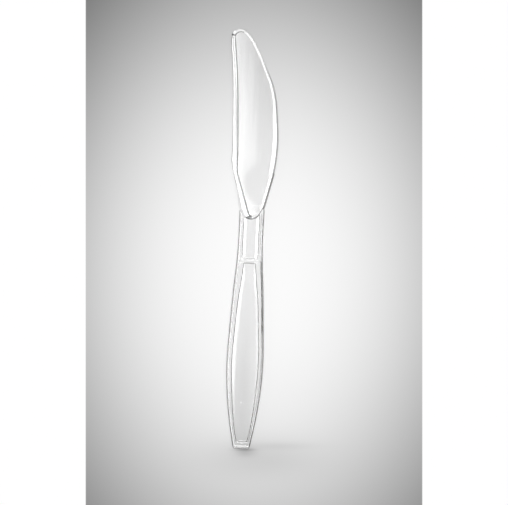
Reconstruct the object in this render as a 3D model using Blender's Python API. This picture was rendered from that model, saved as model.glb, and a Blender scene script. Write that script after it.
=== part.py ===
"""A clear disposable table knife, moulded in one piece.

The knife lies face up on the two long feet of its channel handle. +Y runs from the end
of the handle to the tip, +X points to the cutting edge and +Z points up. Sizes are in
metres, and heights are measured from the surface that the knife lies on.
"""

import bisect
import math
from collections import namedtuple

import bmesh
import bpy
import numpy as np
from mathutils import Vector

MM = 0.001

# Ends of the handle
NOSE_LENGTH = 2.7 * MM
NOSE_TAPER = 1.7 * MM
NOSE_WALL = 1.8 * MM
NOSE_DROP = 0.5 * MM
NECK_END = 112 * MM
NECK_END_LENGTH = 4.5 * MM
NECK_END_TAPER = 2.8 * MM

# Half of the handle's width, at distances from its end
HANDLE_WIDTHS = (
    (2.4 * MM, 4.3 * MM),
    (14 * MM, 6.4 * MM),
    (25 * MM, 7.8 * MM),
    (38 * MM, 8.5 * MM),
    (54 * MM, 8.0 * MM),
    (71 * MM, 7.1 * MM),
    (89 * MM, 5.85 * MM),
    (106 * MM, 5.7 * MM),
)

# Heights and walls of the handle
HANDLE_TOP = 3.7 * MM
NECK_TOP = 2.82 * MM
SLOPE_START = 57 * MM
SLOPE_END = 97 * MM
SIDE_DRAFT = 0.12 * MM
TOP_CHAMFER = 0.4 * MM
LEAST_RIM = 0.4 * MM
FLANGE = 1.3 * MM
WEB = 1.15 * MM

# Half of the width of the leaf panel on the front, at distances from the handle's end
PANEL_WIDTHS = (
    (2.8 * MM, 2.4 * MM),
    (8 * MM, 3.5 * MM),
    (16 * MM, 4.65 * MM),
    (27 * MM, 5.7 * MM),
    (41 * MM, 6.15 * MM),
    (54 * MM, 5.6 * MM),
    (68 * MM, 4.6 * MM),
    (79 * MM, 3.3 * MM),
    (84.4 * MM, 2.85 * MM),
)
PANEL_DEPTH = 0.38 * MM
PANEL_WALL = 0.15 * MM
PANEL_CROWN = 0.3 * MM
PANEL_CORNER = 0.8 * MM

# Hollow on the front of the neck
HOLLOW_START = 85.6 * MM
HOLLOW_HALF = 3.5 * MM
HOLLOW_WALL = 1.7 * MM
HOLLOW_DEPTH = 0.45 * MM
HOLLOW_END_SLOPE = 0.7 * MM

# Underside of the neck, where the channel closes and the feet rise into the blade
CHANNEL_END = 98 * MM
CHANNEL_CLOSE = 8 * MM
FEET_END = 100 * MM
FEET_RISE = 2.05 * MM

# Mark of the pin that pushes the knife out of its mould
PIN_PLACE = (-0.4 * MM, 20.7 * MM)
PIN_LENGTH = 2.3 * MM
PIN_WIDTH = 1.3 * MM
PIN_PROUD = 0.1 * MM
PIN_ROOT = 0.5 * MM

# Heights of the blade, from its middle plane
BLADE_MIDDLE = 2.6 * MM
FACE = 0.62 * MM
EDGE = 0.15 * MM
TIP_EDGE = 0.35 * MM
GROUND = 0.6 * MM
HEEL = 0.05 * MM
HEEL_SHOULDER = 0.48 * MM
RIB = 1.5 * MM
RIB_CHAMFER = 0.2 * MM
RIB_SEAM = 0.9 * MM
LEDGE = 0.75 * MM

# Widths across the blade's rim, as fractions of the way from its outline to its face
GROUND_PART = 0.85
SHOULDER_PART = 0.26
RIB_SIDE_PART = 0.05
RIB_CHAMFER_PART = 0.11
RIB_TOP_PART = 0.84
LEDGE_PART = 0.35

# Teeth
TEETH = 50
TOOTH_DEPTH = 0.5 * MM
GROOVE_EDGE = 0.05 * MM

# What one unit of the blade's outline below is worth
OUTLINE_UNIT = 1 * MM

# A stretch of the blade's rim: points in outline units across and along the knife for its
# outline and for the edge of its flat face, the steps along it, the profiles at its
# start and its end, and whether it has teeth.
Stretch = namedtuple("Stretch", "outline face steps start end toothed")

# The rim, from the heel up the spine, round the tip and back down the cutting edge.
STRETCHES = (
    Stretch(
        ((-5.8, 108.8), (-6.5, 112.4), (-7.5, 117.8), (-8.6, 122.4), (-9.4, 125.7)),
        ((-1.5, 107.2), (-7.2, 124.6)),
        8,
        "ledge",
        "spine",
        False,
    ),
    Stretch(
        ((-9.4, 125.7), (-10.2, 129.6), (-10.2, 136), (-10.6, 149), (-11.35, 166))
        + ((-11.95, 174.5), (-12.7, 182), (-12.9, 185.5)),
        ((-7.2, 124.6), (-7.45, 128), (-7.55, 134), (-8.1, 149), (-8.9, 163.5))
        + ((-9.9, 175), (-11.05, 184.6)),
        26,
        "spine",
        "spine",
        False,
    ),
    Stretch(
        ((-12.9, 185.5), (-12.7, 187.6), (-11.5, 189.2), (-9.2, 190), (-7.3, 189.8)),
        ((-11.05, 184.6), (-11, 186.4), (-10.45, 187.6), (-9.1, 188.4), (-7.65, 188.5)),
        8,
        "spine",
        "tip",
        False,
    ),
    Stretch(
        ((-7.3, 189.8), (-6, 189), (-3.7, 186.6), (-1.3, 183), (1.2, 178.5), (4.3, 171.8))
        + ((6.8, 166.4), (8.8, 159.2), (9.95, 150.2), (10.7, 139.2), (10.2, 130.2), (9.45, 125)),
        ((-7.65, 188.5), (-6.7, 187.9), (-4.7, 185.8), (-2.5, 182.3), (-0.1, 177.8), (2.85, 171.1))
        + ((5.1, 165.8), (6.75, 158.8), (7.35, 150), (7.6, 139.2), (7, 130.4), (6.4, 124)),
        2 * TEETH,
        "tip",
        "cutting",
        True,
    ),
    Stretch(((9.45, 125), (5.7, 109.6)), ((6.4, 124), (2.6, 109.2)), 6, "cutting", "blunt", False),
    Stretch(
        ((5.7, 109.6), (4.9, 107.9), (2.8, 105.1), (-0.1, 103.9)),
        ((2.6, 109.2), (1.8, 107.1), (0.9, 106.2), (0.1, 105.8)),
        8,
        "blunt",
        "blunt",
        False,
    ),
    Stretch(
        ((-0.1, 103.9), (-2.4, 104.4), (-4.3, 106.2), (-5.8, 108.8)),
        ((0.1, 105.8), (-0.6, 105.9), (-1.2, 106.4), (-1.5, 107.2)),
        8,
        "blunt",
        "ledge",
        False,
    ),
)

# Fineness of the mesh
NOSE_PARTS = (0, 0.04, 0.15, 0.35, 0.6, 0.85)
NECK_END_PARTS = (0, 0.05, 0.2, 0.4, 0.7, 1)
CORNER_PARTS = (0.4, 0.7, 1)
STATION_STEP = 4 * MM
STATION_GAP = 0.4 * MM
CROWN_STEPS = 3
RIM_LEVELS = 5
PIN_SIDES = 24
SHARP_ANGLE = math.radians(30)


def clear_scene():
    """Removes every object of the open file."""
    for obj in list(bpy.data.objects):
        bpy.data.objects.remove(obj, do_unlink=True)


def clear_plastic():
    """The clear, colourless plastic of the whole knife."""
    material = bpy.data.materials.new("clear_plastic")
    material.use_nodes = True
    shader = material.node_tree.nodes["Principled BSDF"]
    shader.inputs["Base Color"].default_value = (0.93, 0.94, 0.95, 1)
    shader.inputs["Metallic"].default_value = 0
    shader.inputs["Roughness"].default_value = 0.06
    shader.inputs["IOR"].default_value = 1.59
    shader.inputs["Transmission Weight"].default_value = 1
    return material


def ramp(value, start, end):
    """0 before start, 1 after end and a straight slope between them."""
    return min(max((value - start) / (end - start), 0), 1)


def ease(value, start, end):
    """Like ramp, but with a smooth start and end."""
    part = ramp(value, start, end)
    return part * part * (3 - 2 * part)


def through(stations, place):
    """The value at place of a smooth curve through the (place, value) stations."""
    places, values = np.array(stations).T
    slopes = np.gradient(values, places)
    place = min(max(place, places[0]), places[-1])
    i = min(bisect.bisect_right(places, place), len(places) - 1) - 1
    span = places[i + 1] - places[i]
    t = (place - places[i]) / span
    blend = t * t * (3 - 2 * t)
    leave = t * (1 - t) ** 2 * span * slopes[i]
    arrive = t * t * (1 - t) * span * slopes[i + 1]
    return values[i] * (1 - blend) + values[i + 1] * blend + leave - arrive


def rounded(half, distance, along, across):
    """Half a width at a distance from its end, with an elliptical corner taken off."""
    if distance >= along:
        return half
    part = (along - max(distance, 0)) / along
    return half - across * (1 - math.sqrt(1 - part * part))


def handle_half(y):
    """Half of the handle's width at its feet."""
    half = rounded(through(HANDLE_WIDTHS, y), y, NOSE_LENGTH, NOSE_TAPER)
    return rounded(half, NECK_END - y, NECK_END_LENGTH, NECK_END_TAPER)


def handle_top(y):
    """Height of the handle's rim, which slopes down to the neck and into the blade."""
    slope = (HANDLE_TOP - NECK_TOP) * ease(y, SLOPE_START, SLOPE_END)
    nose = NOSE_DROP * (1 - ramp(y, 0, NOSE_DROP))
    under_blade = (NECK_TOP - BLADE_MIDDLE) * ramp(y, NECK_END - NECK_END_LENGTH, NECK_END)
    return HANDLE_TOP - slope - nose - under_blade


def panel_half(y):
    """Half of the width of the leaf panel, with its upper corners rounded."""
    half = through(PANEL_WIDTHS, y)
    return rounded(half, PANEL_WIDTHS[-1][0] - y, PANEL_CORNER, PANEL_CORNER)


def panel_dip(y):
    """Half width, side wall, depth and crown of the leaf panel at y."""
    start, end = PANEL_WIDTHS[0][0], PANEL_WIDTHS[-1][0]
    sunk = ramp(y, start, start + PANEL_WALL) * (1 - ramp(y, end - PANEL_WALL, end))
    return panel_half(y), PANEL_WALL, PANEL_DEPTH * sunk, PANEL_CROWN * sunk


def hollow_dip(y):
    """Half width, side wall, depth and crown of the hollow of the neck at y."""
    fade = 1 - ramp(y, NECK_END - NECK_END_LENGTH, NECK_END)
    sunk = ramp(y, HOLLOW_START, HOLLOW_START + HOLLOW_END_SLOPE) * fade
    return HOLLOW_HALF, HOLLOW_WALL * fade + PANEL_WALL * (1 - fade), HOLLOW_DEPTH * sunk, 0


def crowned(half, floor, crown):
    """Points of a floor that swells toward the middle, from its side to its middle."""
    parts = [1 - step / CROWN_STEPS for step in range(CROWN_STEPS + 1)]
    return [(half * part, floor + crown * (1 - part * part)) for part in parts]


def channel_ceiling(y, foot):
    """Height of the channel's ceiling, which comes down to the feet at both ends."""
    opened = ramp(y, NOSE_WALL, NOSE_WALL + SIDE_DRAFT)
    opened *= 1 - ramp(y, CHANNEL_END, CHANNEL_END + CHANNEL_CLOSE)
    return foot + (handle_top(y) - PANEL_DEPTH - WEB - foot) * opened


def handle_section(y):
    """One closed loop of points across the handle at y."""
    land = (PANEL_WIDTHS[-1][0] + HOLLOW_START) / 2
    half, top = handle_half(y), handle_top(y)
    foot = FEET_RISE * ease(y, FEET_END, NECK_END)
    edge, wall, depth, crown = panel_dip(y) if y < land else hollow_dip(y)
    edge = min(edge, half - SIDE_DRAFT - TOP_CHAMFER - LEAST_RIM)
    right = [(half, foot), (half - SIDE_DRAFT, top - TOP_CHAMFER)]
    right += [(half - SIDE_DRAFT - TOP_CHAMFER, top), (edge, top)]
    right += crowned(edge - wall, top - depth, crown)
    below = [(half - FLANGE - SIDE_DRAFT, channel_ceiling(y, foot)), (half - FLANGE, foot)]
    left = [(-x, z) for x, z in right[-2::-1]]
    below_left = [(-x, z) for x, z in reversed(below)]
    return [Vector((x, y, z)) for x, z in right + left + below_left + below]


def handle_stations():
    """Distances along the handle, close together where its shape changes quickly."""
    start, end = PANEL_WIDTHS[0][0], PANEL_WIDTHS[-1][0]
    fixed = [NOSE_LENGTH * part for part in NOSE_PARTS]
    fixed += [NECK_END - NECK_END_LENGTH * part for part in NECK_END_PARTS]
    fixed += [end - PANEL_CORNER * part for part in CORNER_PARTS]
    fixed += [NOSE_WALL, NOSE_WALL + SIDE_DRAFT, start, start + PANEL_WALL]
    fixed += [end - PANEL_WALL, end, HOLLOW_START, HOLLOW_START + HOLLOW_END_SLOPE]
    fixed += [CHANNEL_END, CHANNEL_END + CHANNEL_CLOSE]
    steps = np.arange(start + STATION_STEP, NECK_END - NECK_END_LENGTH, STATION_STEP)
    clear = [y for y in steps if min(abs(y - other) for other in fixed) > STATION_GAP]
    return sorted(fixed + clear)


def loft(name, sections):
    """A closed object, made by extruding the edges of each section to the next one."""
    bm = bmesh.new()
    ring = [bm.verts.new(point) for point in sections[0]]
    bm.faces.new(ring)
    for section in sections[1:]:
        order = {tuple(vert.co): i for i, vert in enumerate(ring)}
        edges = [bm.edges.get(pair) for pair in zip(ring, ring[1:] + ring[:1])]
        grown = bmesh.ops.extrude_edge_only(bm, edges=edges)["geom"]
        copies = [item for item in grown if isinstance(item, bmesh.types.BMVert)]
        ring = sorted(copies, key=lambda vert: order[tuple(vert.co)])
        for vert, point in zip(ring, section):
            vert.co = point
    bm.faces.new(ring)
    bmesh.ops.recalc_face_normals(bm, faces=bm.faces)
    return as_object(name, bm)


def as_object(name, bm):
    """Puts a finished mesh into a new object of the scene."""
    mesh = bpy.data.meshes.new(name)
    bm.to_mesh(mesh)
    bm.free()
    obj = bpy.data.objects.new(name, mesh)
    bpy.context.collection.objects.link(obj)
    return obj


def handle():
    """The channel handle and the neck, with the leaf panel sunk into the front."""
    return loft("knife", [handle_section(y) for y in handle_stations()])


def sloped(edge, shoulder_part, shoulder):
    """A profile from the outline up to a shoulder, and straight on to the flat face."""
    levels = RIM_LEVELS - 1
    parts = [shoulder_part + (1 - shoulder_part) * i / (levels - 1) for i in range(levels)]
    heights = [shoulder + (FACE - shoulder) * i / (levels - 1) for i in range(levels)]
    return np.array([(0, edge)] + list(zip(parts, heights)))


def ribbed(seam, side_part, side):
    """A profile from the outline to the side, over the rib and down to the flat face."""
    chamfer = side_part + RIB_CHAMFER_PART
    return np.array([(0, seam), (side_part, side), (chamfer, RIB), (RIB_TOP_PART, RIB), (1, FACE)])


def rim_profiles():
    """Profiles from the blade's outline in to its flat face, by name.

    Each holds pairs of the fraction of the way in and the height from the middle plane.
    """
    return {
        "cutting": sloped(EDGE, GROUND_PART, GROUND),
        "tip": sloped(TIP_EDGE, GROUND_PART, GROUND),
        "blunt": sloped(HEEL, SHOULDER_PART, HEEL_SHOULDER),
        "spine": ribbed(RIB_SEAM, RIB_SIDE_PART, RIB - RIB_CHAMFER),
        "ledge": ribbed(LEDGE, LEDGE_PART, RIB - RIB_CHAMFER),
    }


def curve_points(points, steps):
    """The start of each step along a smooth curve through points in outline units."""
    points = np.array(points) * OUTLINE_UNIT
    spans = np.linalg.norm(np.diff(points, axis=0), axis=1)
    places = np.concatenate(([0], np.cumsum(spans)))
    across = list(zip(places, points[:, 0]))
    along = list(zip(places, points[:, 1]))
    stops = [places[-1] * i / steps for i in range(steps)]
    return [Vector((through(across, stop), through(along, stop), 0)) for stop in stops]


def rim_columns():
    """Lines across the blade's rim: outline point, face point and profile."""
    profiles = rim_profiles()
    columns = []
    for stretch in STRETCHES:
        outline = curve_points(stretch.outline, stretch.steps)
        face = curve_points(stretch.face, stretch.steps)
        start, end = profiles[stretch.start], profiles[stretch.end]
        for i, (outer, inner) in enumerate(zip(outline, face)):
            profile = start + (end - start) * i / stretch.steps
            if stretch.toothed and i % 2:
                outer = outer + (inner - outer).normalized() * TOOTH_DEPTH
                profile[0][1] = GROOVE_EDGE
            columns.append((outer, inner, profile))
    return columns


def rim_level(columns, level, side):
    """The closed loop round the blade at one level of its profiles."""
    loop = []
    for outer, inner, profile in columns:
        part, height = profile[level]
        loop.append(outer.lerp(inner, part) + Vector((0, 0, side * height)))
    return loop


def blade():
    """The blade: flat faces, spine rib, ground edge with teeth, and the rounded heel."""
    columns = rim_columns()
    front = [rim_level(columns, level, 1) for level in reversed(range(RIM_LEVELS))]
    back = [rim_level(columns, level, -1) for level in range(RIM_LEVELS)]
    obj = loft("blade_form", front + back)
    obj.location.z = BLADE_MIDDLE
    return obj


def pin_mark():
    """The small oval mark that stands on the floor of the leaf panel."""
    x, y = PIN_PLACE
    floor = handle_top(y) - PANEL_DEPTH + PANEL_CROWN
    bm = bmesh.new()
    bmesh.ops.create_cone(
        bm,
        cap_ends=True,
        segments=PIN_SIDES,
        radius1=PIN_WIDTH / 2,
        radius2=PIN_WIDTH / 2,
        depth=PIN_PROUD + PIN_ROOT,
    )
    bmesh.ops.scale(bm, vec=(1, PIN_LENGTH / PIN_WIDTH, 1), verts=bm.verts)
    obj = as_object("pin_form", bm)
    obj.location = (x, y, floor + (PIN_PROUD - PIN_ROOT) / 2)
    return obj


def join(body, piece):
    """Makes the piece one with the body, and keeps it in the scene as a guide."""
    modifier = body.modifiers.new(piece.name, "BOOLEAN")
    modifier.operation = "UNION"
    modifier.solver = "EXACT"
    modifier.object = piece
    piece.hide_render = True
    piece.display_type = "WIRE"


def centre(objects):
    """Moves the objects together so that the knife's box is centred over the origin."""
    bpy.context.view_layer.update()
    corners = [obj.matrix_world @ Vector(corner) for obj in objects for corner in obj.bound_box]
    low = np.array(corners).min(axis=0)
    high = np.array(corners).max(axis=0)
    shift = Vector(((low[0] + high[0]) / 2, (low[1] + high[1]) / 2, low[2]))
    for obj in objects:
        obj.location -= shift


def build():
    """Makes the knife."""
    clear_scene()
    body = handle()
    pieces = [blade(), pin_mark()]
    for piece in pieces:
        join(body, piece)
    centre([body] + pieces)
    plastic = clear_plastic()
    for obj in [body] + pieces:
        obj.data.materials.append(plastic)
        obj.data.shade_smooth()
        obj.data.set_sharp_from_angle(angle=SHARP_ANGLE)


build()
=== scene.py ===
"""Studio scene of a clear moulded table knife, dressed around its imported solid.

The knife lies face up on the long feet of its channel handle. In its own drawing, +Y runs
from the end of the handle to the tip, +X points to the cutting edge and +Z points up, with
the handle's axis at X 0 and its end at Y 0. Lengths are in metres.
"""

import bisect
import logging
import math
from dataclasses import dataclass
from enum import Enum
from typing import Any, Sequence

import bmesh
import bpy
import numpy as np
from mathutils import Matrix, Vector


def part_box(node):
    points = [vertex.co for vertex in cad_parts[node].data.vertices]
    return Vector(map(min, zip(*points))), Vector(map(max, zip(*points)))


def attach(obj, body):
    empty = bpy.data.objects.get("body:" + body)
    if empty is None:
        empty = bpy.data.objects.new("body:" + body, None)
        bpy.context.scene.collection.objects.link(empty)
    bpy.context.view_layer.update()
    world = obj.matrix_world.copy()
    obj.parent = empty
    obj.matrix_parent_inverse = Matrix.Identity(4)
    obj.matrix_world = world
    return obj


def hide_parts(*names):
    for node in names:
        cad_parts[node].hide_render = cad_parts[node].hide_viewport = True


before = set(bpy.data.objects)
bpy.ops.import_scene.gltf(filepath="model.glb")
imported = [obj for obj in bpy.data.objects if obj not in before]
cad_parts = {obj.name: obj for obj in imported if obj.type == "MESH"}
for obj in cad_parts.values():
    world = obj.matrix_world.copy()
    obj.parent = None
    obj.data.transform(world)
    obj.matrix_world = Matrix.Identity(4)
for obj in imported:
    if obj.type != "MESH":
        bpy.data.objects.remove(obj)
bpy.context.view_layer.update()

log = logging.getLogger("knife_scene")

MM = 0.001
TINY = 1e-7
STATION_DIGITS = 7
BLADE_MIDDLE = 2.6 * MM
NODE = "knife"
PLASTIC_SLOT = "clear_plastic"
TILT = "tilt"

Pair = tuple[float, float]
Corner = tuple[float, float, float]
Stations = Sequence[Pair]


def ramp(value: float, start: float, end: float) -> float:
    """Give 0 before start, 1 after end and a straight slope between them."""
    return min(max((value - start) / (end - start), 0), 1)


def ease(value: float, start: float, end: float) -> float:
    """Give the same as ramp, with a smooth start and end."""
    part = ramp(value, start, end)
    return part * part * (3 - 2 * part)


def through(stations: Stations, place: float) -> float:
    """Read a smooth curve that passes through stations.

    Args:
        stations: (place, value) pairs in rising order of place.
        place: Where to read the curve.

    Returns:
        The curve's value at place.
    """
    places, values = np.array(stations).T
    slopes = np.gradient(values, places)
    place = min(max(place, places[0]), places[-1])
    i = min(bisect.bisect_right(places, place), len(places) - 1) - 1
    span = places[i + 1] - places[i]
    t = (place - places[i]) / span
    blend = t * t * (3 - 2 * t)
    leave = t * (1 - t) ** 2 * span * slopes[i]
    arrive = t * t * (1 - t) * span * slopes[i + 1]
    return values[i] * (1 - blend) + values[i + 1] * blend + leave - arrive


def rounded_off(half: float, distance: float, along: float, across: float) -> float:
    """Take an elliptical corner off a width near its end.

    Args:
        half: Half of the width.
        distance: How far the place is from the end.
        along: Length of the corner along the piece.
        across: Length of the corner across the piece.

    Returns:
        What is left of the half width.
    """
    if distance >= along:
        return half
    part = (along - max(distance, 0)) / along
    return half - across * (1 - math.sqrt(1 - part * part))


def softened(corners: Sequence[Corner], steps: int, closed: bool) -> list[Pair]:
    """Round the corners of a polyline.

    Args:
        corners: The two coordinates of each corner, and how much of each leg it takes.
        steps: Steps round each corner that takes any.
        closed: Whether the last corner leads back to the first.

    Returns:
        The points of the rounded polyline.
    """
    most_of_leg = 0.45
    points: list[Pair] = []
    last = len(corners) - 1
    for i, (x, z, cut) in enumerate(corners):
        if cut == 0 or (not closed and i in (0, last)):
            points.append((x, z))
            continue
        here = np.array((x, z))
        before = np.array(corners[i - 1][:2]) - here
        after = np.array(corners[(i + 1) % len(corners)][:2]) - here
        legs = [np.hypot(*leg) for leg in (before, after)]
        start = here + before / legs[0] * min(cut, most_of_leg * legs[0])
        end = here + after / legs[1] * min(cut, most_of_leg * legs[1])
        for step in range(steps + 1):
            t = step / steps
            point = start * (1 - t) ** 2 + here * 2 * t * (1 - t) + end * t * t
            points.append((float(point[0]), float(point[1])))
    return points


def curve_points(points: Stations, steps: int) -> list[Vector]:
    """Step along a smooth curve.

    Args:
        points: Points of the curve in millimetres, across and along the knife.
        steps: Steps from the first point to the last.

    Returns:
        The start of each step, in metres.
    """
    spots = np.array(points) * MM
    spans = np.linalg.norm(np.diff(spots, axis=0), axis=1)
    places = np.concatenate(([0], np.cumsum(spans)))
    across = list(zip(places, spots[:, 0]))
    along = list(zip(places, spots[:, 1]))
    stops = [places[-1] * i / steps for i in range(steps)]
    return [Vector((through(across, stop), through(along, stop), 0)) for stop in stops]


def as_object(name: str, bm: bmesh.types.BMesh) -> bpy.types.Object:
    """Put a finished mesh into a new object of the scene."""
    mesh = bpy.data.meshes.new(name)
    bm.to_mesh(mesh)
    bm.free()
    obj = bpy.data.objects.new(name, mesh)
    bpy.context.collection.objects.link(obj)
    return obj


def loft(sections: Sequence[Sequence[Vector]]) -> bmesh.types.BMesh:
    """Extrude the edges of the first section to each of the next ones.

    Args:
        sections: Closed loops with the same number of points.

    Returns:
        The closed mesh.
    """
    bm = bmesh.new()
    ring = [bm.verts.new(point) for point in sections[0]]
    bm.faces.new(ring)
    for section in sections[1:]:
        order = {tuple(vert.co): i for i, vert in enumerate(ring)}
        edges = [bm.edges.get(pair) for pair in zip(ring, ring[1:] + ring[:1])]
        grown = bmesh.ops.extrude_edge_only(bm, edges=edges)["geom"]
        copies = [item for item in grown if isinstance(item, bmesh.types.BMVert)]
        ring = sorted(copies, key=lambda vert: order[tuple(vert.co)])
        for vert, point in zip(ring, section):
            vert.co = point
    bm.faces.new(ring)
    bmesh.ops.recalc_face_normals(bm, faces=bm.faces)
    return bm


@dataclass(frozen=True)
class Noise:
    """A smooth noise: how fine it is, how many octaves it has, and its stretch by axis."""

    scale: float
    detail: float
    stretch: tuple[float, float, float]


class Link:
    """A shader socket with Python's arithmetic, each step of which adds a Math node."""

    def __init__(self, graph: "Graph", socket: Any) -> None:
        """Keep the socket and the graph that its nodes go to."""
        self.graph = graph
        self.socket = socket

    def _math(self, operation: str, *values: Any) -> "Link":
        """Add one Math node and return its result."""
        inputs = dict(enumerate(values))
        return self.graph.node("ShaderNodeMath", {"operation": operation}, inputs)

    def __add__(self, other: Any) -> "Link":
        """Add."""
        return self._math("ADD", self, other)

    __radd__ = __add__

    def __mul__(self, other: Any) -> "Link":
        """Multiply."""
        return self._math("MULTIPLY", self, other)

    __rmul__ = __mul__

    def __sub__(self, other: Any) -> "Link":
        """Subtract."""
        return self._math("SUBTRACT", self, other)

    def __rsub__(self, other: Any) -> "Link":
        """Subtract from a number."""
        return self._math("SUBTRACT", other, self)

    def __truediv__(self, other: Any) -> "Link":
        """Divide."""
        return self._math("DIVIDE", self, other)

    def __pow__(self, other: Any) -> "Link":
        """Raise to a power."""
        return self._math("POWER", self, other)

    def __abs__(self) -> "Link":
        """Drop the sign."""
        return self._math("ABSOLUTE", self)

    def most(self, other: Any) -> "Link":
        """Take the larger of two values."""
        return self._math("MAXIMUM", self, other)

    def exp(self) -> "Link":
        """Raise e to this power."""
        return self._math("EXPONENT", self)

    def angle_from(self, other: Any) -> "Link":
        """Give the angle whose tangent is this value over the other, in radians."""
        return self._math("ARCTAN2", self, other)

    def between(self, start: float, end: float) -> "Link":
        """Rise smoothly from 0 at start to 1 at end."""
        settings = {"interpolation_type": "SMOOTHSTEP"}
        inputs = {"Value": self, "From Min": start, "From Max": end}
        return self.graph.node("ShaderNodeMapRange", settings, inputs)


class Graph:
    """The nodes of one material or of the world."""

    def __init__(self, owner: Any) -> None:
        """Start an empty node tree on a material or a world."""
        owner.use_nodes = True
        self.tree = owner.node_tree
        self.tree.nodes.clear()

    def node(
        self, kind: str, settings: dict[str, Any], inputs: dict[Any, Any], output: Any = 0
    ) -> Link:
        """Add a node.

        Args:
            kind: The node's type.
            settings: Its own settings, which are set first.
            inputs: Values or links for its sockets.
            output: Which of its outputs to return.

        Returns:
            The chosen output.
        """
        made = self.tree.nodes.new(kind)
        for name, value in settings.items():
            setattr(made, name, value)
        for name, value in inputs.items():
            if isinstance(value, Link):
                self.tree.links.new(value.socket, made.inputs[name])
            else:
                made.inputs[name].default_value = value
        return Link(self, made.outputs[output])

    def place(self, turn: float = 0, shift: Sequence[float] = (0, 0, 0)) -> list[Link]:
        """Give the object's own coordinates, shifted and then turned about Z."""
        place = self.node("ShaderNodeTexCoord", {}, {}, "Object")
        settings = {"vector_type": "TEXTURE"}
        inputs = {"Vector": place, "Location": tuple(shift), "Rotation": (0, 0, turn)}
        turned = self.node("ShaderNodeMapping", settings, inputs)
        return self.parts(turned)

    def parts(self, vector: Link) -> list[Link]:
        """Split a vector into its three numbers."""
        split = self.node("ShaderNodeSeparateXYZ", {}, {"Vector": vector})
        return [Link(self, split.socket.node.outputs[i]) for i in range(3)]

    def grey(self, value: Link) -> Link:
        """Make a grey colour of a number."""
        inputs = {"Red": value, "Green": value, "Blue": value}
        return self.node("ShaderNodeCombineColor", {}, inputs)

    def noise(self, noise: Noise) -> Link:
        """Add noise on the object's coordinates, stretched along some of its axes."""
        place = self.node("ShaderNodeTexCoord", {}, {}, "Object")
        spread = self.node("ShaderNodeMapping", {}, {"Vector": place, "Scale": noise.stretch})
        inputs = {"Vector": spread, "Scale": noise.scale, "Detail": noise.detail}
        return self.node("ShaderNodeTexNoise", {}, inputs)

    def finish(self, shader: Link, output: str) -> None:
        """Send a shader to the tree's output node."""
        made = self.tree.nodes.new(output)
        self.tree.links.new(shader.socket, made.inputs["Surface"])


class Profile(Enum):
    """The kinds of cross-section that the blade's rim has."""

    TIP = "tip"
    FINE = "fine"
    CUTTING = "cutting"
    BLUNT = "blunt"
    HEEL = "heel"
    SPINE = "spine"
    CROWNED = "crowned"
    LEDGE = "ledge"


RIBBED = (Profile.SPINE, Profile.CROWNED, Profile.LEDGE)


@dataclass(frozen=True)
class ClearPlastic:
    """The clear, colourless plastic of the knife."""

    clear: float = 0.98
    # Painted shade in the base colour of steep faces: its grey, the tilts over which it comes in,
    # and how much of it upright faces lose.
    painted_shade_tint: float = 0.08
    steep: Pair = (0.035, 0.25)
    upright: Pair = (0.82, 0.92)
    upright_clears: float = 0.55
    refraction: float = 1.59
    smoothest: float = 0.02
    roughest: float = 0.07
    cloud: Noise = Noise(180, 3, (1, 0.4, 1))
    cloud_range: Pair = (0.35, 0.75)
    ripple: float = 0.02 * MM
    ripples: Noise = Noise(90, 1, (1, 0.35, 1))
    flow: float = 0.012 * MM
    streaks: Noise = Noise(420, 2, (1, 0.06, 1))
    # Painted shade that darkens the plastic over the leaf panel near the handle's end: its depth,
    # middle and reach.
    painted_panel_shade: float = 0.13
    painted_panel_shade_middle: Pair = (0.7 * MM, -76 * MM)
    painted_panel_shade_reach: Pair = (5 * MM, 42 * MM)

    def material(self) -> bpy.types.Material:
        """Make the plastic, with the faint ripples and flow lines of a moulding.

        Its steep faces get a painted shade in the base colour, standing in for the dark that clear
        plastic shows where it bends the light away. How steep a face is comes from an attribute of
        the mesh. A painted shade also darkens the plastic over the leaf panel near the handle's
        end.
        """
        material = bpy.data.materials.new(PLASTIC_SLOT)
        graph = Graph(material)
        cloudy = graph.noise(self.cloud).between(*self.cloud_range)
        roughness = cloudy * (self.roughest - self.smoothest) + self.smoothest
        height = graph.noise(self.ripples) * self.ripple + graph.noise(self.streaks) * self.flow
        inputs = {"Height": height, "Distance": 1.0, "Strength": 1.0}
        normal = graph.node("ShaderNodeBump", {}, inputs)
        # Painted shade on steep faces, from the tilt that each face keeps; upright faces get less
        # of it.
        tilt = graph.node("ShaderNodeAttribute", {"attribute_name": TILT}, {}, "Fac")
        upright = tilt.between(*self.upright) * self.upright_clears
        steep = tilt.between(*self.steep) * (1 - upright)
        # Painted shade over the leaf panel near the handle's end.
        x, y, _ = graph.place()
        spread = ((x - self.painted_panel_shade_middle[0]) / self.painted_panel_shade_reach[0]) ** 2
        spread = spread + ((y - self.painted_panel_shade_middle[1]) / self.painted_panel_shade_reach[1]) ** 2
        clear = self.clear - (spread * -1.0).exp() * self.painted_panel_shade
        colour = graph.grey(steep * (self.painted_shade_tint - clear) + clear)
        values = {
            "Base Color": colour,
            "Metallic": 0.0,
            "Roughness": roughness,
            "IOR": self.refraction,
            "Transmission Weight": 1.0,
            "Normal": normal,
        }
        shader = graph.node("ShaderNodeBsdfPrincipled", {}, values)
        graph.finish(shader, "ShaderNodeOutputMaterial")
        return material


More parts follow.
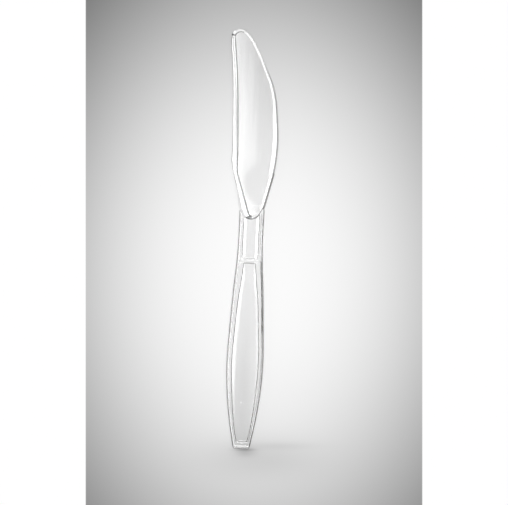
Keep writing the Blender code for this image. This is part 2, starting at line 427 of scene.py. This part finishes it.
@dataclass(frozen=True)
class BackdropPaper:
    """Pale paper with a painted pool of light under the knife and painted shadows by the end of
    the handle, with plain white floor on both sides.
    """

    # The painted pool of light: grey at its brightest, how it falls off, and how far it reaches
    # across and along.
    middle: float = 0.966
    fall_off: float = 1.304
    reach_across: float = 101.8 * MM
    reach_along: float = 142 * MM
    half_width: float = 76.3 * MM
    half_length: float = 140 * MM
    end_fade: float = 1.3
    soft_edge: float = 0.25 * MM
    # Painted shadows by the end of the handle: middle, reach and depth of each.
    painted_shadows: tuple[tuple[Pair, Pair, float], ...] = (
        ((-4 * MM, -90.3 * MM), (4.6 * MM, 2.2 * MM), 0.26),
        ((3 * MM, -93 * MM), (24 * MM, 9 * MM), 0.17),
        ((-4.4 * MM, -89.4 * MM), (4.2 * MM, 0.6 * MM), 0.36),
        ((10 * MM, -87.8 * MM), (16 * MM, 1.7 * MM), 0.09),
    )
    plain: float = 1.0
    glow: float = 0.8

    def material(self, centre: Vector, turn: float, lightest: Vector) -> bpy.types.Material:
        """Make the paper.

        Args:
            centre: Middle of the paper.
            turn: How far the paper is turned about Z, in radians.
            lightest: Where the painted pool of light is brightest, from its middle, before it is
                turned.

        Returns:
            The material of the floor.
        """
        material = bpy.data.materials.new("backdrop_paper")
        graph = Graph(material)
        x, y, _ = graph.place(turn, centre)
        # Painted pool of light, brightest at lightest and falling off outward.
        across = (x - lightest.x) / self.reach_across
        along = (y - lightest.y) / self.reach_along
        distance = across * across + along * along
        shade = (distance**self.fall_off * -1.0).exp() * self.middle
        # Painted shadows darken the paper by the end of the handle.
        for middle, reach, depth in self.painted_shadows:
            spread = ((x - middle[0]) / reach[0]) ** 2 + ((y - middle[1]) / reach[1]) ** 2
            shade = shade * (1 - (spread * -1.0).exp() * depth)
        side = abs(x).between(self.half_width - self.soft_edge, self.half_width + self.soft_edge)
        end = abs(y).between(self.half_length, self.half_length * self.end_fade)
        outside = side.most(end)
        shade = shade * (1 - outside) + outside * self.plain
        colour = graph.grey(shade)
        matt = graph.node("ShaderNodeBsdfDiffuse", {}, {"Color": colour})
        bright = graph.node("ShaderNodeEmission", {}, {"Color": colour, "Strength": 1.0})
        seen = graph.node("ShaderNodeLightPath", {}, {}, "Is Camera Ray")
        seen = seen.most(graph.node("ShaderNodeLightPath", {}, {}, "Is Glossy Ray"))
        seen = seen.most(graph.node("ShaderNodeLightPath", {}, {}, "Is Transmission Ray"))
        shader = graph.node("ShaderNodeMixShader", {}, {0: seen * self.glow, 1: matt, 2: bright})
        graph.finish(shader, "ShaderNodeOutputMaterial")
        return material


@dataclass(frozen=True)
class Sunk:
    """The profile of a shallow hollow in the front of the handle, on one side of its axis."""

    half: float
    lip: float
    lip_depth: float
    wall: float
    depth: float
    crown: float
    soft: float


@dataclass
class Handle:
    """The channel handle and the neck, with the leaf panel sunk into the front."""

    nose_length: float = 2.7 * MM
    nose_taper: float = 1.7 * MM
    nose_wall: float = 1.8 * MM
    nose_round: float = 0.45 * MM
    nose_lean: float = 2.0 * MM
    nose_fall: float = 0.5 * MM
    end: float = 112 * MM
    end_length: float = 4.5 * MM
    end_taper: float = 2.8 * MM
    widths: Stations = (
        (2.4 * MM, 4.3 * MM),
        (14 * MM, 6.4 * MM),
        (25 * MM, 7.8 * MM),
        (38 * MM, 8.5 * MM),
        (54 * MM, 8.0 * MM),
        (71 * MM, 7.1 * MM),
        (89 * MM, 5.85 * MM),
        (106 * MM, 5.7 * MM),
    )
    top: float = 3.7 * MM
    neck_top: float = 2.82 * MM
    slope_start: float = 57 * MM
    slope_end: float = 97 * MM
    draft: float = 0.1 * MM
    right_draft: float = 0.25 * MM
    shoulder: float = 1.1 * MM
    least_rim: float = 0.8 * MM
    flange: float = 1.3 * MM
    web: float = 1.15 * MM
    foot_round: float = 0.12 * MM
    panel_widths: Stations = (
        (2.8 * MM, 2.4 * MM),
        (8 * MM, 3.5 * MM),
        (16 * MM, 4.65 * MM),
        (27 * MM, 5.7 * MM),
        (41 * MM, 6.15 * MM),
        (54 * MM, 5.6 * MM),
        (68 * MM, 4.6 * MM),
        (79 * MM, 3.3 * MM),
        (84.4 * MM, 2.85 * MM),
    )
    panel_depth: float = 0.38 * MM
    panel_wall: float = 0.32 * MM
    panel_end_wall: float = 0.3 * MM
    panel_crown_end: float = 5 * MM
    panel_start: float = 1.2 * MM
    panel_crown: float = 0.12 * MM
    panel_crown_grows: Pair = (4 * MM, 38 * MM)
    crown_power: int = 5
    panel_corner: float = 0.8 * MM
    panel_round: float = 0.1 * MM
    hollow_start: float = 85.6 * MM
    hollow_half: float = 3.7 * MM
    hollow_lip: float = 0.3 * MM
    hollow_lip_depth: float = 0.26 * MM
    hollow_wall: float = 1.4 * MM
    hollow_depth: float = 0.46 * MM
    hollow_slope: float = 1.3 * MM
    hollow_round: float = 0.1 * MM
    channel_round: float = 0.06 * MM
    channel_draft: float = 0.03 * MM
    feet_end: float = 100 * MM
    feet_rise: float = 2.05 * MM
    station_step: float = 1 * MM
    station_gap: float = 0.25 * MM
    nose_stations: tuple[float, ...] = (0.35, 0.5, 0.65, 0.8)
    wall_steps: int = 6
    crown_steps: int = 10
    round_steps: int = 4

    def half(self, y: float) -> float:
        """Half of the handle's width at its feet."""
        half = rounded_off(through(self.widths, y), y, self.nose_length, self.nose_taper)
        half = rounded_off(half, y, self.nose_round, self.nose_round)
        return rounded_off(half, self.end - y, self.end_length, self.end_taper)

    def rim(self, y: float) -> float:
        """Height of the rim, which slopes down to the neck and into the blade."""
        slope = (self.top - self.neck_top) * ease(y, self.slope_start, self.slope_end)
        under = (self.neck_top - BLADE_MIDDLE) * ramp(y, self.end - self.end_length, self.end)
        height = rounded_off(self.top - slope - under, y, self.panel_widths[0][0], self.nose_fall)
        return rounded_off(height, y, self.nose_round, self.nose_lean)

    def panel(self, y: float) -> Sunk:
        """Give the leaf panel's profile at y."""
        start, end = self.panel_widths[0][0], self.panel_widths[-1][0]
        whole = through(self.panel_widths, y)
        half = rounded_off(whole, end - y, self.panel_corner, self.panel_corner)
        part = 1 - ramp(y, end - self.panel_end_wall, end)
        part *= ease(y, start, start + self.panel_start)
        wall, depth = self.panel_wall, self.panel_depth * part
        crown = self.panel_crown * part * (1 - ease(y, end - self.panel_crown_end, end))
        crown *= ramp(y, *self.panel_crown_grows)
        return Sunk(half, wall / 2, depth / 2, wall, depth, crown, self.panel_round)

    def hollow(self, y: float) -> Sunk:
        """Give the profile of the neck's hollow at y."""
        fade = 1 - ramp(y, self.end - self.end_length, self.end)
        part = ease(y, self.hollow_start, self.hollow_start + self.hollow_slope) * fade
        wall = self.hollow_wall * fade + self.panel_wall * (1 - fade)
        lip, lip_depth = self.hollow_lip * wall / self.hollow_wall, self.hollow_lip_depth * part
        depth = self.hollow_depth * part
        return Sunk(self.hollow_half, lip, lip_depth, wall, depth, 0, self.hollow_round)

    def ceiling(self, y: float, foot: float) -> float:
        """Height of the channel's ceiling, which the feet rise to under the blade."""
        opened = ease(y, self.nose_wall, self.nose_wall + self.draft)
        return foot + max(self.rim(y) - self.panel_depth - self.web - foot, 0) * opened

    def section(self, y: float) -> list[Vector]:
        """Give the closed loop of points across the handle at y."""
        land = (self.panel_widths[-1][0] + self.hollow_start) / 2
        half, top = self.half(y), self.rim(y)
        foot = self.feet_rise * ease(y, self.feet_end, self.end)
        sunk = self.panel(y) if y < land else self.hollow(y)
        edge = min(sunk.half, half - self.draft - self.least_rim)
        floor, inner = top - sunk.depth, edge - sunk.wall
        right = [
            (half, foot, self.foot_round),
            (half - self.draft, top, self.shoulder),
            (edge, top, sunk.soft),
            (edge - sunk.lip, top - sunk.lip_depth, sunk.soft),
            (inner, floor, sunk.soft),
        ]
        for step in range(1, self.crown_steps + 1):
            part = 1 - step / self.crown_steps
            right.append((inner * part, floor + sunk.crown * (1 - part**self.crown_power), 0))
        below = [
            (half - self.flange - self.channel_draft, self.ceiling(y, foot), self.channel_round),
            (half - self.flange, foot, self.foot_round),
        ]
        left = [(-x, z, cut) for x, z, cut in right[-2::-1]]
        right[1] = (half - self.right_draft, top, self.shoulder)
        below_left = [(-x, z, cut) for x, z, cut in reversed(below)]
        loop = softened(right + left + below_left + below, self.round_steps, closed=True)
        return [Vector((x, y, z)) for x, z in loop]

    def wall_stations(self, start: float, length: float) -> list[float]:
        """Give the stations down one steep wall across the handle."""
        return [start + length * i / self.wall_steps for i in range(self.wall_steps + 1)]

    def stations(self) -> list[float]:
        """Give distances along the handle, close together where it changes quickly."""
        start, end = self.panel_widths[0][0], self.panel_widths[-1][0]
        turns = [math.sin(math.pi / 2 * i / self.wall_steps) for i in range(self.wall_steps)]
        fixed = [self.nose_round * (1 - turn) for turn in turns]
        fixed += [0.0, *(self.nose_length * part for part in self.nose_stations)]
        fixed += [self.end - self.end_length * (1 - turn) for turn in turns]
        fixed += [end - self.panel_corner * (1 - turn) for turn in turns[:-2]]
        fixed += self.wall_stations(self.nose_wall, self.draft)
        fixed += self.wall_stations(start, self.panel_start)
        fixed += self.wall_stations(end - self.panel_end_wall, self.panel_end_wall)
        fixed += self.wall_stations(self.hollow_start, self.hollow_slope)
        fixed = sorted({round(y, STATION_DIGITS) for y in fixed + [self.end]})
        last = self.end - self.end_length
        regular = np.arange(start + self.station_step, last, self.station_step)
        clear = [
            y for y in regular if min(abs(y - other) for other in fixed) > self.station_gap
        ]
        return sorted(fixed + clear)

    def mesh(self) -> bmesh.types.BMesh:
        """Loft the handle through its sections."""
        return loft([self.section(y) for y in self.stations()])


@dataclass(frozen=True)
class Stretch:
    """A stretch of the blade's rim, between its outline and the edge of its flat face."""

    outline: Stations
    face: Stations
    steps: int
    start: Profile
    end: Profile
    teeth: int = 0
    settle: float = 1.0


@dataclass
class Blade:
    """The blade: spine rib, dished front face, ground edge with teeth, and rounded heel."""

    face: float = 0.62 * MM
    dish: float = 0.45 * MM
    dish_reach: float = 17 * MM
    dish_power: float = 1.8
    dish_size: Stations = (
        (109 * MM, 0.6),
        (114 * MM, 0.25),
        (122 * MM, 0.25),
        (131 * MM, 1),
    )
    dish_starts: Pair = (0.05 * MM, 0.25 * MM)
    dish_guide: Stations = (
        (106 * MM, -1 * MM),
        (124.6 * MM, -7.2 * MM),
        (149 * MM, -8.1 * MM),
        (175 * MM, -9.9 * MM),
        (190 * MM, -11.6 * MM),
    )
    bevel_top: float = 0.6 * MM
    bevel_part: float = 0.85
    bevel_slope: float = 0.165
    crest_slope: float = 0.36
    tip_slope: float = 0.085
    tip_step: float = 0.26 * MM
    tip_step_width: float = 0.3 * MM
    edge_reach: float = 0.1 * MM
    edge_drop: float = 0.03 * MM
    fine_gullet: float = 0.7 * MM
    cutting_gullet: float = 1.1 * MM
    blunt_rise: Stations = (
        (0, -0.22 * MM),
        (1 * MM, 0.47 * MM),
        (1.35 * MM, 0.52 * MM),
        (2.1 * MM, 0.61 * MM),
    )
    heel_rise: Stations = (
        (0, -0.2 * MM),
        (0.75 * MM, 0.53 * MM),
        (1.1 * MM, 0.56 * MM),
        (1.6 * MM, 0.61 * MM),
    )
    rib: float = 1.5 * MM
    rib_fall: float = 0.035
    rib_crown: float = 0.055 * MM
    rib_seam: float = 1.2 * MM
    rib_side_part: float = 0.08
    rib_middle_part: float = 0.45
    rib_top_part: float = 0.86
    rib_round: float = 0.12 * MM
    ledge: float = 1.15 * MM
    ledge_part: float = 0.35
    foot_round: float = 0.12 * MM
    face_inset: float = 0.18 * MM
    edge_round: float = 0.08 * MM
    crown_round: float = 0.3 * MM
    teeth: int = 50
    tooth_steps: int = 8
    tooth_part: float = 0.4
    groove_edge: float = 0.05 * MM
    groove_web: float = 0.1 * MM
    back_edge: float = 0.5 * MM
    groove_grows: Pair = (0.2, 0.5)
    notch_part: float = 0.3
    notch_steep: float = 2
    side_steps: int = 24
    back_steps: int = 80
    start_steps: int = 12
    heel_steps: int = 20
    tip_settle: float = 0.06
    heel_settle: float = 0.4
    round_steps: int = 4
    grid: Pair = (0.75 * MM, 1.5 * MM)
    flat_level: float = 0.999
    flat_near: float = 0.008 * MM

    def stretches(self) -> list[Stretch]:
        """Give the rim from the heel up the spine, round the tip and down the edge."""
        ended, fine, cutting, blunt, rounded, spine, crowned, ledge = Profile
        foot, face_foot = (-5.8, 108.8), (-1.5, 107.2)
        corner, face_corner = (-9.4, 125.7), (-7.2, 124.6)
        tip_start, face_tip = (-12.85, 187.2), (-11.2, 186.6)
        tip_end, face_end = (-8.1, 189.95), (-8.2, 188.5)
        first_tooth, face_first = (-6, 189), (-6.7, 187.8)
        last_tooth, face_last = (9.45, 125), (6.4, 124)
        throat, face_throat = (5.8, 109.9), (2.6, 109.4)
        bottom, face_bottom = (-0.1, 103.9), (0.1, 105.8)
        neck_side = (foot, (-6.5, 112.4), (-7.5, 117.8), (-8.6, 122.4), corner)
        back = (corner, (-10.2, 129.6), (-10.2, 136), (-10.6, 149), (-11.35, 166))
        back += ((-11.95, 174.5), (-12.75, 182), tip_start)
        face_back = (face_corner, (-7.45, 128), (-7.55, 134), (-8.1, 149), (-8.9, 163.5))
        face_back += ((-9.9, 175), face_tip)
        tip = (tip_start, (-12.4, 188.3), (-11.5, 189.2), (-9.9, 189.85), tip_end)
        face_round = (face_tip, (-11, 187.2), (-10.4, 187.9), (-9.4, 188.35), face_end)
        start = (tip_end, (-7.2, 189.7), first_tooth)
        face_start = (face_end, (-7.6, 188.4), face_first)
        front = (first_tooth, (-3.7, 186.6), (-1.3, 183), (1.2, 178.5), (4.3, 171.8))
        front += ((6.8, 166.4), (8.8, 159.2), (9.95, 150.2), (10.7, 139.2), (10.2, 130.2))
        front += (last_tooth,)
        face_front = (face_first, (-4.7, 185.8), (-2.5, 182.3), (-0.1, 177.8))
        face_front += ((2.85, 171.1), (5.1, 165.8), (6.75, 158.8), (7.35, 150), (7.6, 139.2))
        face_front += ((7, 130.4), face_last)
        straight, face_straight = (last_tooth, throat), (face_last, face_throat)
        heel = (throat, (4.5, 107.6), (2.7, 105.1), bottom)
        face_heel = (face_throat, (1.8, 107.1), (0.9, 106.2), face_bottom)
        heel_back = (bottom, (-2.4, 104.4), (-4.3, 106.2), foot)
        face_heel_back = (face_bottom, (-0.6, 105.9), (-1.2, 106.4), face_foot)
        toothed = self.teeth * self.tooth_steps
        return [
            Stretch(neck_side, (face_foot, face_corner), self.side_steps, ledge, spine),
            Stretch(back, face_back, self.back_steps, spine, crowned),
            Stretch(tip, face_round, self.side_steps, crowned, ended, settle=self.tip_settle),
            Stretch(start, face_start, self.start_steps, ended, fine),
            Stretch(front, face_front, toothed, fine, cutting, self.teeth),
            Stretch(straight, face_straight, self.heel_steps, blunt, blunt),
            Stretch(heel, face_heel, self.heel_steps, blunt, rounded, settle=self.heel_settle),
            Stretch(
                heel_back, face_heel_back, self.heel_steps, rounded, ledge, settle=self.heel_settle
            ),
        ]

    def corners(self, profile: Profile, width: float) -> np.ndarray:
        """Give the corners of a profile.

        Args:
            profile: Which profile it is.
            width: Distance from the outline to the flat face.

        Returns:
            For each corner its distance from the outline, its height over the blade's
            middle plane, and how far it is rounded.
        """
        if profile in RIBBED:
            rows = self.rib_rows(profile, width)
        else:
            if profile is Profile.TIP:
                rise = self.tip_rise(width)
            elif profile is Profile.FINE:
                rise = self.ground_rise(width, self.fine_gullet, self.bevel_slope)
            elif profile is Profile.CUTTING:
                rise = self.ground_rise(width, self.cutting_gullet, self.crest_slope)
            else:
                rise = self.blunt_rise if profile is Profile.BLUNT else self.heel_rise
            rows = [(reach, height, self.edge_round) for reach, height in rise]
        return np.array([*rows, (width, self.face, self.foot_round)])

    def tip_rise(self, width: float) -> Stations:
        """Give distance and height of the corners over the tip, which end in a small step."""
        inner, top = width - self.tip_step_width, self.face + self.tip_step
        middle = (self.edge_reach + inner) / 2
        low, high = [top - self.tip_slope * (inner - x) for x in (self.edge_reach, middle)]
        edge = (0, low - self.edge_drop)
        return (edge, (self.edge_reach, low), (middle, high), (inner, top))

    def ground_rise(self, width: float, gullet: float, slope: float) -> Stations:
        """Give distance and height of the corners of the ground edge.

        Args:
            width: Distance from the outline to the flat face.
            gullet: How far from the outline the teeth end.
            slope: Slope of the teeth.

        Returns:
            The corners from the outline inward.
        """
        inner = self.bevel_part * width
        high = self.bevel_top - self.bevel_slope * (inner - gullet)
        low = high - slope * (gullet - self.edge_reach)
        edge = (0, low - self.edge_drop)
        return (edge, (self.edge_reach, low), (gullet, high), (inner, self.bevel_top))

    def rib_rows(self, profile: Profile, width: float) -> list[Corner]:
        """Give the corners of the rib in the form that it has in a profile."""
        side, top = self.rib_side_part * width, self.rib_top_part * width
        seam, fall = self.rib_seam, self.rib_fall * width
        middle = side + (top - side) * self.rib_middle_part
        high, inner = self.rib - fall / 2, self.rib
        if profile is Profile.CROWNED:
            high, fall = self.rib, self.rib_crown
            inner = self.rib - self.rib_crown
        if profile is Profile.LEDGE:
            side, seam = self.ledge_part * width, self.ledge
            middle = (side + top) / 2
        return [
            (0, seam, self.edge_round),
            (side, self.rib - fall, self.rib_round),
            (middle, high, self.crown_round),
            (top, inner, self.rib_round),
        ]

    def back_corners(self, profile: Profile, width: float) -> np.ndarray:
        """Give the same corners under the blade, which has a flat back beside the rib."""
        corners = self.corners(profile, width)
        if profile not in RIBBED:
            corners[0, 1] = self.back_edge
            corners[1:, 1] = self.face
        corners[:, 1] *= -1
        return corners

    def columns(self) -> list[tuple[Vector, Vector, np.ndarray, np.ndarray]]:
        """Give each line across the rim: outline point, direction, front and back corners."""
        columns = []
        for stretch in self.stretches():
            outline = curve_points(stretch.outline, stretch.steps)
            face = curve_points(stretch.face, stretch.steps)
            for i, (outer, inner) in enumerate(zip(outline, face)):
                width = (inner - outer).length
                part = min(i / stretch.steps / stretch.settle, 1)
                front, back = [
                    corners(stretch.start, width) * (1 - part) + corners(stretch.end, width) * part
                    for corners in (self.corners, self.back_corners)
                ]
                if stretch.teeth:
                    self.groove(front, back, i / stretch.steps, stretch.teeth)
                columns.append((outer, (inner - outer) / width, front, back))
        return columns

    def groove(self, front: np.ndarray, back: np.ndarray, part: float, teeth: int) -> None:
        """Cut one line of the grooved teeth into the corners of its profile.

        Args:
            front: The profile's corners on the front, which are changed.
            back: The profile's corners on the back, which are changed.
            part: How far along the toothed stretch the line lies, from 0 to 1.
            teeth: How many teeth the stretch has.
        """
        depth = 1 - abs(part * teeth % 1 - 0.5) / self.notch_part
        depth = min(max(depth * self.notch_steep, 0), 1)
        inward = self.tooth_part * front[2][0] * depth
        front[:2] += (inward, inward * self.bevel_slope, 0)
        back[:2, 0] += inward
        sunk = depth * ramp(part, *self.groove_grows)
        floor = back[0][1] + self.groove_web
        front[0][1] += (floor - self.groove_edge - front[0][1]) * sunk
        front[1][1] += (floor - front[1][1]) * sunk

    def loops(self) -> list[list[Vector]]:
        """Give the closed loops of the rim, from the front face round to the back."""
        rows = []
        for outer, inward, front, back in self.columns():
            inset = front[-1][0] + self.face_inset
            polyline = [(inset, self.face, 0), *map(tuple, front[::-1])]
            polyline += [*map(tuple, back), (inset, -self.face, 0)]
            points = softened(polyline, self.round_steps, closed=False)
            rows.append([outer + inward * d + Vector((0, 0, h)) for d, h in points])
        return [list(loop) for loop in zip(*rows)]

    def dished(self, place: Vector) -> float:
        """Give how far the front of the blade is sunk at a place, mostly beside the rib."""
        places, values = zip(*self.dish_guide)
        spine = float(np.interp(place.y, places, values))
        size = through(self.dish_size, place.y)
        away = ramp(place.x, spine, spine + self.dish_reach * size)
        whole = ramp(place.z, *self.dish_starts)
        whole *= 1 - ramp(place.z, self.face, self.rib)
        return self.dish * size * (1 - away) ** self.dish_power * whole

    def flat_part(self, bm: bmesh.types.BMesh) -> list[bmesh.types.BMFace]:
        """Find the faces that lie flat at the height of the front face."""
        flat = [face for face in bm.faces if face.normal.z > self.flat_level]
        return [
            face for face in flat if abs(face.calc_center_median().z - self.face) < self.flat_near
        ]

    def mesh(self) -> bmesh.types.BMesh:
        """Build the rim, divide its flat front and sink it toward the spine."""
        bm = loft(self.loops())
        for axis, grid in enumerate(self.grid):
            across = Vector((axis == 0, axis == 1, 0))
            reach = [vert.co[axis] for vert in bm.verts]
            for cut in np.arange(min(reach) + grid / 2, max(reach), grid):
                faces = self.flat_part(bm)
                parts = {part for face in faces for part in (*face.edges, *face.verts)}
                bmesh.ops.bisect_plane(
                    bm, geom=[*faces, *parts], dist=TINY, plane_co=across * cut, plane_no=across
                )
        for vert in bm.verts:
            vert.co.z -= self.dished(vert.co)
        bmesh.ops.translate(bm, vec=(0, 0, BLADE_MIDDLE), verts=bm.verts)
        return bm


@dataclass
class PinMark:
    """The small oval mark that stands on the floor of the leaf panel as a low dome."""

    place: Pair = (-0.4 * MM, 20.7 * MM)
    length: float = 2.7 * MM
    width: float = 1.5 * MM
    proud: float = 0.024 * MM
    thick: float = 0.38 * MM
    segments: int = 48
    rings: int = 48

    def mesh(self, floor: float) -> bmesh.types.BMesh:
        """Build the mark.

        Args:
            floor: Height of the panel's floor under the mark.

        Returns:
            Its mesh.
        """
        bm = bmesh.new()
        bmesh.ops.create_uvsphere(bm, u_segments=self.segments, v_segments=self.rings, radius=1)
        sunk = self.thick - self.proud
        wide = math.sqrt(1 - (sunk / self.thick) ** 2) * 2
        size = (self.width / wide, self.length / wide, self.thick)
        bmesh.ops.scale(bm, vec=size, verts=bm.verts)
        bmesh.ops.translate(bm, vec=(*self.place, floor - sunk), verts=bm.verts)
        return bm


@dataclass
class Knife:
    """The whole knife, which is one moulded piece."""

    handle: Handle
    blade: Blade
    pin_mark: PinMark
    plastic: ClearPlastic
    spine_reach: float = 12.9 * MM
    sharp: float = math.radians(38)

    def origin(self) -> Vector:
        """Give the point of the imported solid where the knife's own drawing starts."""
        low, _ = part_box(NODE)
        return Vector((low[0] + self.spine_reach, low[1], low[2]))

    def floor_at_mark(self) -> float:
        """Height of the panel's floor where the pin mark stands."""
        y = self.pin_mark.place[1]
        return self.handle.rim(y) - self.handle.panel_depth + self.handle.panel(y).crown

    def build(self) -> bpy.types.Object:
        """Model the knife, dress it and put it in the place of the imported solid."""
        knife = as_object("knife_moulding", self.handle.mesh())
        parts = [
            as_object("blade_part", self.blade.mesh()),
            as_object("pin_part", self.pin_mark.mesh(self.floor_at_mark())),
        ]
        for part in parts:
            self.unite(knife, part)
        self.tidy(knife)
        knife.data.materials.append(self.plastic.material())
        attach(knife, "root")
        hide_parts(NODE)
        return knife

    def unite(self, whole: bpy.types.Object, part: bpy.types.Object) -> None:
        """Make a part one with the whole, and drop the part."""
        modifier = whole.modifiers.new("unite", "BOOLEAN")
        modifier.operation = "UNION"
        modifier.solver = "EXACT"
        modifier.object = part
        graph = bpy.context.evaluated_depsgraph_get()
        mesh = bpy.data.meshes.new_from_object(whole.evaluated_get(graph))
        whole.modifiers.clear()
        whole.data = mesh
        bpy.data.objects.remove(part, do_unlink=True)

    def tidy(self, knife: bpy.types.Object) -> None:
        """Clean the joined mesh, move it to its place and smooth it between sharp edges.

        Each face also keeps its tilt, 0 where it lies flat and 1 where it stands upright.
        """
        bm = bmesh.new()
        bm.from_mesh(knife.data)
        bmesh.ops.remove_doubles(bm, verts=bm.verts, dist=TINY)
        bmesh.ops.translate(bm, vec=self.origin(), verts=bm.verts)
        bm.normal_update()
        tilt = bm.faces.layers.float.new(TILT)
        for face in bm.faces:
            face.smooth = True
            face[tilt] = 1 - abs(face.normal.z)
        bm.to_mesh(knife.data)
        bm.free()
        knife.data.set_sharp_from_angle(angle=self.sharp)
        modifier = knife.modifiers.new("weighted_normals", "WEIGHTED_NORMAL")
        modifier.keep_sharp = True


@dataclass
class Studio:
    """The floor, the light all round and the camera over the knife."""

    paper: BackdropPaper
    turn: float = math.radians(2.66)
    view_width: float = 229.8 * MM
    view_centre: Pair = (2.85 * MM, -5.81 * MM)
    # Where the paper's painted pool of light is brightest, from the middle of the view.
    lightest: Pair = (1.8 * MM, -9.3 * MM)
    lens: float = 200.0
    sensor: float = 36.0
    floor_size: float = 4.0
    floor_gap: float = 0.02 * MM
    subject_height: float = 3 * MM
    horizon: float = 0.97
    lamp: float = 9.4
    ambient: float = 0.05
    near: float = math.radians(10)
    far: float = math.radians(22)
    glow: float = 0.08
    side: float = 0.8
    side_near: float = math.radians(35)
    side_far: float = math.radians(80)
    strip_near: float = math.radians(1)
    strip_far: float = math.radians(8)
    soft: float = math.radians(2.5)

    def floor(self) -> bpy.types.Object:
        """Lay the paper on the floor."""
        bm = bmesh.new()
        bmesh.ops.create_grid(bm, x_segments=1, y_segments=1, size=self.floor_size / 2)
        bmesh.ops.translate(bm, vec=(0, 0, -self.floor_gap), verts=bm.verts)
        floor = as_object("paper_floor", bm)
        centre = Vector((*self.view_centre, 0))
        floor.data.materials.append(self.paper.material(centre, self.turn, Vector(self.lightest)))
        return floor

    def light(self) -> bpy.types.World:
        """Make the soft light round the camera, with the dark room beyond it."""
        world = bpy.data.worlds.new("studio_light")
        graph = Graph(world)
        direction = graph.node("ShaderNodeTexCoord", {}, {}, "Generated")
        x, y, z = graph.parts(direction)
        away = ((x * x + y * y) ** 0.5).angle_from(z)
        outside = away.between(self.far - self.soft, self.far + self.soft)
        left = (x * -1.0).angle_from(z)
        strip = left.between(self.strip_near, self.strip_far)
        lit = away.between(self.near, self.near + self.soft).most(strip).most(self.glow)
        lit = lit * (1 - outside)
        side = left.between(self.side_near, self.side_near + self.soft)
        side = side * (1 - left.between(self.side_far - self.soft, self.side_far))
        strength = lit * self.lamp + side * self.side + self.ambient
        seen = graph.node("ShaderNodeLightPath", {}, {}, "Is Camera Ray")
        strength = strength * (1 - seen) + seen * self.horizon
        shader = graph.node("ShaderNodeBackground", {}, {"Strength": strength})
        graph.finish(shader, "ShaderNodeOutputWorld")
        bpy.context.scene.world = world
        return world

    def camera(self) -> bpy.types.Object:
        """Hang the camera straight over the knife."""
        data = bpy.data.cameras.new("overhead_camera")
        data.lens = self.lens
        data.sensor_width = self.sensor
        data.dof.use_dof = False
        camera = bpy.data.objects.new("overhead_camera", data)
        distance = self.view_width * self.lens / self.sensor
        camera.location = (*self.view_centre, self.subject_height + distance)
        camera.rotation_euler = (0, 0, self.turn)
        bpy.context.collection.objects.link(camera)
        bpy.context.scene.camera = camera
        return camera


def main() -> None:
    """Build the knife, the floor, the light and the camera, and report each of them."""
    knife = Knife(Handle(), Blade(), PinMark(), ClearPlastic()).build()
    log.info("knife: %d faces in one piece", len(knife.data.polygons))
    studio = Studio(BackdropPaper())
    log.info("floor: %s", studio.floor().name)
    log.info("light: %s", studio.light().name)
    log.info("camera: %s", studio.camera().name)
    bpy.context.scene.view_settings.view_transform = "Standard"


if __name__ == "__main__":
    logging.basicConfig(level=logging.INFO, format="%(message)s")
    main()
